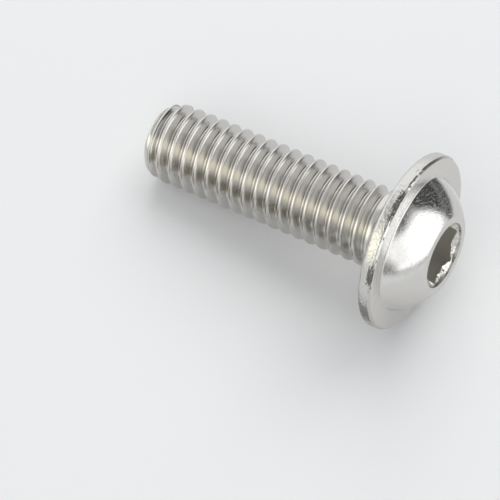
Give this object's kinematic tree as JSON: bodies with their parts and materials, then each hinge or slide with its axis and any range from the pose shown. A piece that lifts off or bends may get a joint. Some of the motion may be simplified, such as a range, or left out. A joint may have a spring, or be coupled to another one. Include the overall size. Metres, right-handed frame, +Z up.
{
  "type": "button head screw",
  "caption": "Stainless button head screw with a collar, a hexagon socket and a full coarse thread with a rounded point, lying on its side.",
  "frame": {"origin": "centre of the bounding box in X and Y, on the floor the screw lies on", "axes": "+Z up. The screw's axis lies in the XZ plane and leans 10.8 degrees from +X, so the head is at +X and a little higher than the point at -X"},
  "size_m": [0.0238, 0.013, 0.0129],
  "materials": {
    "stainless_steel": "bright, lightly tumbled"
  },
  "bodies": {
    "root": {"button_head_screw": "stainless_steel"}
  },
  "joints": []
}
